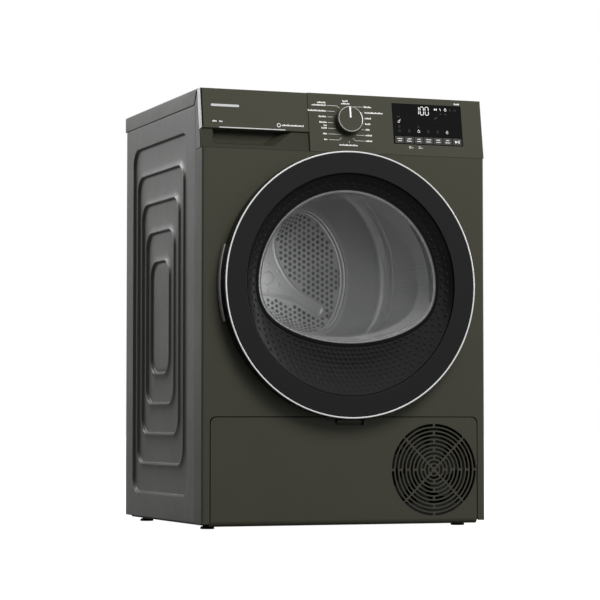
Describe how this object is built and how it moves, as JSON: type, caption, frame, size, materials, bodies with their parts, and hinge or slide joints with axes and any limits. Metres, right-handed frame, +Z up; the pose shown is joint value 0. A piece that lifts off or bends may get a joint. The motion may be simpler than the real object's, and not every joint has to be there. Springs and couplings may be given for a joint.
{
  "type": "clothes dryer",
  "caption": "Front-loading heat-pump clothes dryer with a round swinging door, pull-out water tank, programme knob, touch display, tilting service panel and turning drum.",
  "frame": {"origin": "centre of the footprint on the floor", "axes": "+X to the user's right, -Y the front with the door, +Z up"},
  "size_m": [0.594, 0.568, 0.853],
  "materials": {
    "side_paint": "satin",
    "worktop_shell": "satin",
    "front_paint": "satin",
    "front_plastic": "satin",
    "zinc_sheet": "brushed",
    "drum_steel": "brushed",
    "dark_moulding": "matte",
    "door_gloss": "gloss",
    "door_cover": "satin, dimpled",
    "chrome_trim": "polished",
    "grey_lip": "satin",
    "bowl_glass": "clear",
    "tank_plastic": "translucent",
    "light_moulding": "matte",
    "circuit_board": "satin",
    "rubber": "matte",
    "bronze": "satin",
    "copper_pipe": "satin",
    "aluminium_fins": "brushed",
    "cast_black": "satin",
    "motor_metal": "satin"
  },
  "bodies": {
    "cabinet": {"left_side_panel": "side_paint", "right_side_panel": "side_paint", "rear_panel": "zinc_sheet", "rear_duct_cover": "zinc_sheet", "worktop": "worktop_shell", "front_panel": "front_paint", "control_fascia": "front_plastic", "base_tray": "dark_moulding", "front_bulkhead": "dark_moulding", "rear_bulkhead": "zinc_sheet", "drum_bearing": "bronze", "door_seal": "rubber", "lint_filter": "light_moulding", "drive_belt": "rubber", "motor": "motor_metal", "compressor": "cast_black", "evaporator": "aluminium_fins", "condenser": "aluminium_fins", "refrigerant_pipes": "copper_pipe", "condensate_pump": "light_moulding", "exchanger_cover": "light_moulding", "tank_chute": "light_moulding", "display_window": "door_gloss", "control_board": "circuit_board", "drain_spigot": "dark_moulding", "mains_inlet": "dark_moulding", "door_catch": "dark_moulding", "hinge_bracket": "zinc_sheet", "cabinet_screws": "zinc_sheet"},
    "door": {"door_outer_ring": "door_gloss", "door_trim_ring": "chrome_trim", "door_inner_cone": "door_cover", "door_glass": "bowl_glass", "door_back_ring": "dark_moulding", "door_handle_lip": "grey_lip"},
    "tank_drawer": {"water_tank": "tank_plastic", "tank_front": "front_plastic", "tank_trims": "chrome_trim"},
    "service_panel": {"kick_panel": "front_plastic"},
    "service_latch": {"kick_latch": "front_plastic"},
    "drum": {"drum_shell": "drum_steel", "drum_back_plate": "drum_steel", "drum_spider": "zinc_sheet", "drum_lifters": "dark_moulding"},
    "rotor": {"motor_rotor": "motor_metal"},
    "left_roller": {"roller_left": "rubber"},
    "right_roller": {"roller_right": "rubber"},
    "fan": {"cooling_fan": "dark_moulding"},
    "knob": {"program_knob": "front_plastic"},
    "key_1": {"key_1": "front_plastic"},
    "key_2": {"key_2": "front_plastic"},
    "key_3": {"key_3": "front_plastic"},
    "key_4": {"key_4": "front_plastic"},
    "key_5": {"key_5": "front_plastic"},
    "key_6": {"key_6": "front_plastic"},
    "key_7": {"key_7": "front_plastic"},
    "foot_front_left": {"foot_front_left": "rubber"},
    "foot_front_right": {"foot_front_right": "rubber"},
    "foot_rear_left": {"foot_rear_left": "rubber"},
    "foot_rear_right": {"foot_rear_right": "rubber"}
  },
  "joints": [
    {"name": "door_swing", "type": "hinge", "parent": "cabinet", "child": "door", "pos_m": [0.2525, -0.2705, 0.474], "axis": [0, 0, 1], "range_deg": [0, 130]},
    {"name": "drum_spin", "type": "hinge", "parent": "cabinet", "child": "drum", "pos_m": [0, 0, 0.515], "axis": [0, 1, 0], "continuous": true},
    {"name": "motor_spin", "type": "hinge", "parent": "cabinet", "child": "rotor", "pos_m": [0.175, 0, 0.11], "axis": [0, 1, 0], "continuous": true},
    {"name": "left_roller_spin", "type": "hinge", "parent": "cabinet", "child": "left_roller", "pos_m": [-0.14915, 0, 0.25666], "axis": [0, 1, 0], "continuous": true},
    {"name": "right_roller_spin", "type": "hinge", "parent": "cabinet", "child": "right_roller", "pos_m": [0.14915, 0, 0.25666], "axis": [0, 1, 0], "continuous": true},
    {"name": "fan_spin", "type": "hinge", "parent": "cabinet", "child": "fan", "pos_m": [0.1864, 0, 0.1124], "axis": [0, 1, 0], "continuous": true},
    {"name": "knob_turn", "type": "hinge", "parent": "cabinet", "child": "knob", "pos_m": [0.0081, -0.23975, 0.79969], "axis": [0, -0.9877, 0.1564], "continuous": true},
    {"name": "drawer_slide", "type": "slide", "parent": "cabinet", "child": "tank_drawer", "axis": [0, -1, 0], "range_m": [0, 0.43]},
    {"name": "service_panel_tilt", "type": "hinge", "parent": "cabinet", "child": "service_panel", "pos_m": [0, -0.241, 0.022], "axis": [1, 0, 0], "range_deg": [0, 90]},
    {"name": "latch_press", "type": "slide", "parent": "service_panel", "child": "service_latch", "axis": [0, 0, -1], "range_m": [0, 0.003], "stiffness_N_per_m": 400, "springref_m": -0.002},
    {"name": "key_1_press", "type": "slide", "parent": "cabinet", "child": "key_1", "axis": [0, 0.9877, -0.1564], "range_m": [0, 0.001], "stiffness_N_per_m": 600, "springref_m": -0.0005},
    {"name": "key_2_press", "type": "slide", "parent": "cabinet", "child": "key_2", "axis": [0, 0.9877, -0.1564], "range_m": [0, 0.001], "stiffness_N_per_m": 600, "springref_m": -0.0005},
    {"name": "key_3_press", "type": "slide", "parent": "cabinet", "child": "key_3", "axis": [0, 0.9877, -0.1564], "range_m": [0, 0.001], "stiffness_N_per_m": 600, "springref_m": -0.0005},
    {"name": "key_4_press", "type": "slide", "parent": "cabinet", "child": "key_4", "axis": [0, 0.9877, -0.1564], "range_m": [0, 0.001], "stiffness_N_per_m": 600, "springref_m": -0.0005},
    {"name": "key_5_press", "type": "slide", "parent": "cabinet", "child": "key_5", "axis": [0, 0.9877, -0.1564], "range_m": [0, 0.001], "stiffness_N_per_m": 600, "springref_m": -0.0005},
    {"name": "key_6_press", "type": "slide", "parent": "cabinet", "child": "key_6", "axis": [0, 0.9877, -0.1564], "range_m": [0, 0.001], "stiffness_N_per_m": 600, "springref_m": -0.0005},
    {"name": "key_7_press", "type": "slide", "parent": "cabinet", "child": "key_7", "axis": [0, 0.9877, -0.1564], "range_m": [0, 0.001], "stiffness_N_per_m": 600, "springref_m": -0.0005},
    {"name": "foot_front_left_height", "type": "slide", "parent": "cabinet", "child": "foot_front_left", "axis": [0, 0, -1], "range_m": [0, 0.015]},
    {"name": "foot_front_right_height", "type": "slide", "parent": "cabinet", "child": "foot_front_right", "axis": [0, 0, -1], "range_m": [0, 0.015]},
    {"name": "foot_rear_left_height", "type": "slide", "parent": "cabinet", "child": "foot_rear_left", "axis": [0, 0, -1], "range_m": [0, 0.015]},
    {"name": "foot_rear_right_height", "type": "slide", "parent": "cabinet", "child": "foot_rear_right", "axis": [0, 0, -1], "range_m": [0, 0.015]}
  ],
  "couplings": [
    {"joint": "motor_spin", "follows": "drum_spin", "ratio": 28.505},
    {"joint": "left_roller_spin", "follows": "drum_spin", "ratio": -16.529},
    {"joint": "right_roller_spin", "follows": "drum_spin", "ratio": -16.529}
  ]
}
